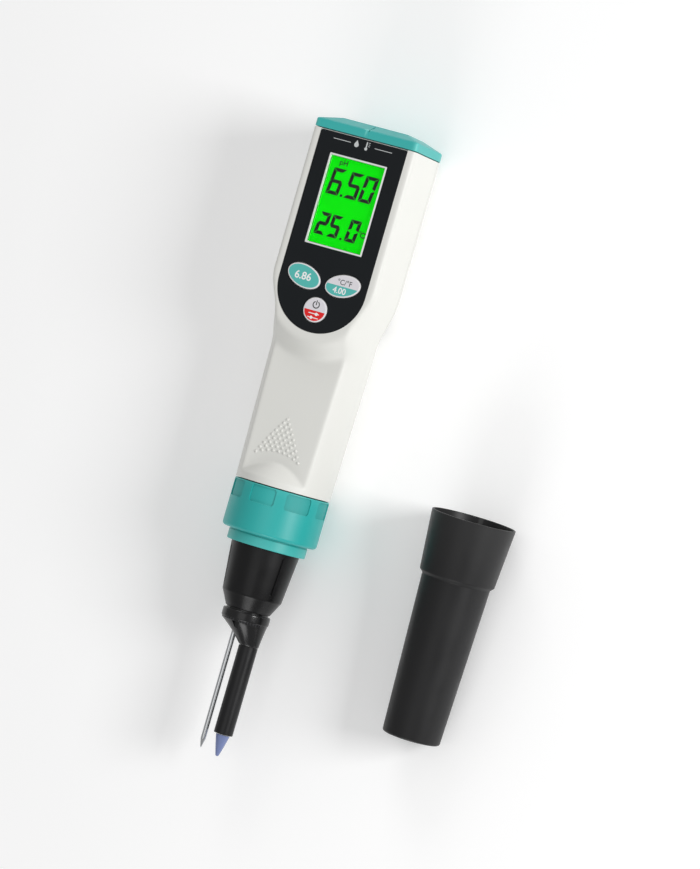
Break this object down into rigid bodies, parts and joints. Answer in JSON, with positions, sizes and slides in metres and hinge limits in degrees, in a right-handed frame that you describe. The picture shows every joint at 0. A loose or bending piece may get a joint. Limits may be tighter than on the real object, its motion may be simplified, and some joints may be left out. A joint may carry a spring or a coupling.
{
  "type": "ph meter",
  "caption": "Handheld pH and temperature tester with a display, three keys, a screw-on electrode unit and a loose push-on probe cap.",
  "frame": {"origin": "centre of the flat back of the meter's head, on which it lies", "axes": "+Y along the meter towards the head, +Z out of the display, +X to the right of the display"},
  "size_m": [0.1167, 0.2516, 0.0389],
  "materials": {
    "white_plastic": "satin moulded white",
    "teal_plastic": "satin moulded teal",
    "key_teal": "satin teal key top",
    "key_grey": "satin pale grey key top",
    "key_red": "satin red key top",
    "panel_black": "semi-gloss black film",
    "black_plastic": "satin moulded black",
    "sensing_glass": "clear blue-violet glass",
    "clear_lens": "clear window",
    "display_green": "lit green display",
    "steel": "polished stainless steel",
    "board_green": "solder-masked circuit board",
    "rubber_black": "soft black rubber",
    "contact_gold": "gold-plated contact",
    "cell_jacket": "printed dry-cell jacket",
    "natural_plastic": "natural unpainted plastic"
  },
  "bodies": {
    "meter": {"front_shell": "white_plastic", "rear_shell": "white_plastic", "screw_head_left": "steel", "screw_head_right": "steel", "screw_handle_upper": "steel", "screw_handle_lower": "steel", "panel_overlay": "panel_black", "display_bezel": "white_plastic", "display_lens": "clear_lens", "display_glass": "display_green", "display_backlight": "natural_plastic", "display_holder": "natural_plastic", "switch_left": "steel", "switch_right": "steel", "switch_power": "steel", "main_board": "board_green", "microcontroller": "black_plastic", "battery_tray": "black_plastic", "battery_left": "cell_jacket", "battery_right": "cell_jacket", "battery_spring": "steel", "battery_contact": "steel", "battery_lead_negative": "rubber_black", "battery_lead_positive": "key_red", "threaded_sleeve": "black_plastic", "electrode_socket": "black_plastic"},
    "key_left": {"key_left": "key_teal"},
    "key_right": {"key_right": "key_grey"},
    "key_power": {"key_power": "key_red"},
    "top_cover": {"top_cover": "teal_plastic", "cover_seal": "rubber_black", "contact_bridge": "steel"},
    "electrode": {"sleeve_gasket": "rubber_black", "probe_body": "black_plastic", "stem_o_ring": "rubber_black", "probe_holder": "black_plastic", "electrode_tube": "black_plastic", "reference_stem": "sensing_glass", "silver_wire": "contact_gold", "glass_tip": "sensing_glass", "temperature_pin": "steel", "electrode_plug": "contact_gold", "sensor_lead": "rubber_black"},
    "locking_ring": {"locking_ring": "teal_plastic"},
    "protective_cap": {"protective_cap": "black_plastic"}
  },
  "joints": [
    {"name": "electrode_slide", "type": "slide", "parent": "meter", "child": "electrode", "axis": [0, -1, 0], "range_m": [0, 0.0061]},
    {"name": "ring_spin", "type": "hinge", "parent": "electrode", "child": "locking_ring", "pos_m": [0, -0.118, 0.019], "axis": [0, -1, 0], "range_deg": [0, 1080]},
    {"name": "cover_slide", "type": "slide", "parent": "meter", "child": "top_cover", "axis": [0, 1, 0], "range_m": [0, 0.015]},
    {"name": "key_left_press", "type": "slide", "parent": "meter", "child": "key_left", "axis": [0, 0, -1], "range_m": [0, 0.0006], "stiffness_N_per_m": 2500},
    {"name": "key_right_press", "type": "slide", "parent": "meter", "child": "key_right", "axis": [0, 0, -1], "range_m": [0, 0.0006], "stiffness_N_per_m": 2500},
    {"name": "key_power_press", "type": "slide", "parent": "meter", "child": "key_power", "axis": [0, 0, -1], "range_m": [0, 0.0006], "stiffness_N_per_m": 2500},
    {"name": "cap_slide", "type": "slide", "parent": "meter", "child": "protective_cap", "axis": [0, -1, 0], "range_m": [0, 0.12]}
  ],
  "couplings": [
    {"joint": "electrode_slide", "follows": "ring_spin", "m_per_rad": 0.00031831}
  ]
}
